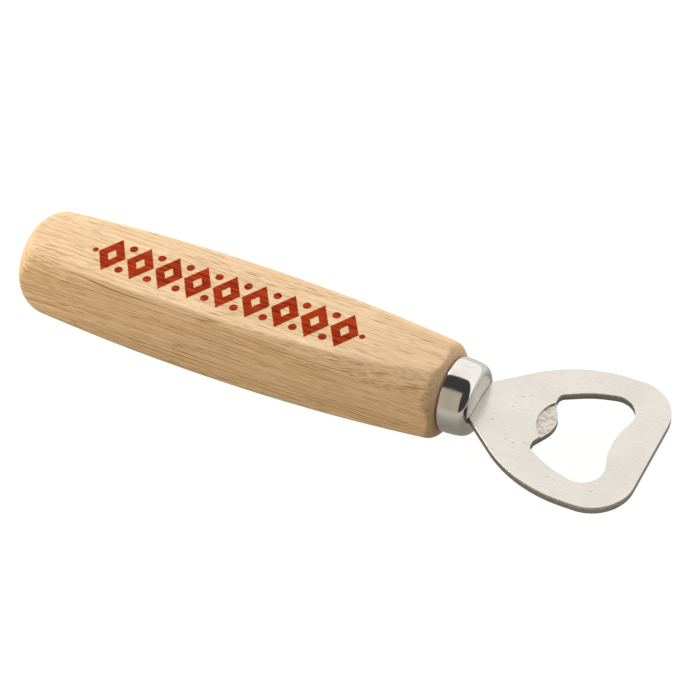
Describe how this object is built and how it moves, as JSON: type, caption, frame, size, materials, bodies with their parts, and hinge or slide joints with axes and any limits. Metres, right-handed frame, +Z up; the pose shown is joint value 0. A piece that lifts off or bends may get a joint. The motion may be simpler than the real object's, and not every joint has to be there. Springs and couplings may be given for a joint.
{
  "type": "bottle opener",
  "caption": "Wooden-handled bottle opener: a flat-sided turned handle, a steel ferrule and a stamped steel head that lifts crown caps.",
  "frame": {"origin": "under the middle of the whole opener, on the surface that it lies on", "axes": "+X from the butt of the handle to the tip of the head, +Z up from the lower flat, +Y across the head"},
  "size_m": [0.1688, 0.0422, 0.0226],
  "materials": {
    "wood": "fine-sanded pale beech, unvarnished, with a fired red-brown print",
    "polished_steel": "mirror polished",
    "brushed_steel": "tumbled satin with fine lengthwise scratches",
    "cured_adhesive": "cured resin, hidden inside the handle"
  },
  "bodies": {
    "root": {"handle": "wood", "ferrule": "polished_steel", "opener_blade": "brushed_steel", "tang_adhesive": "cured_adhesive"}
  },
  "joints": []
}
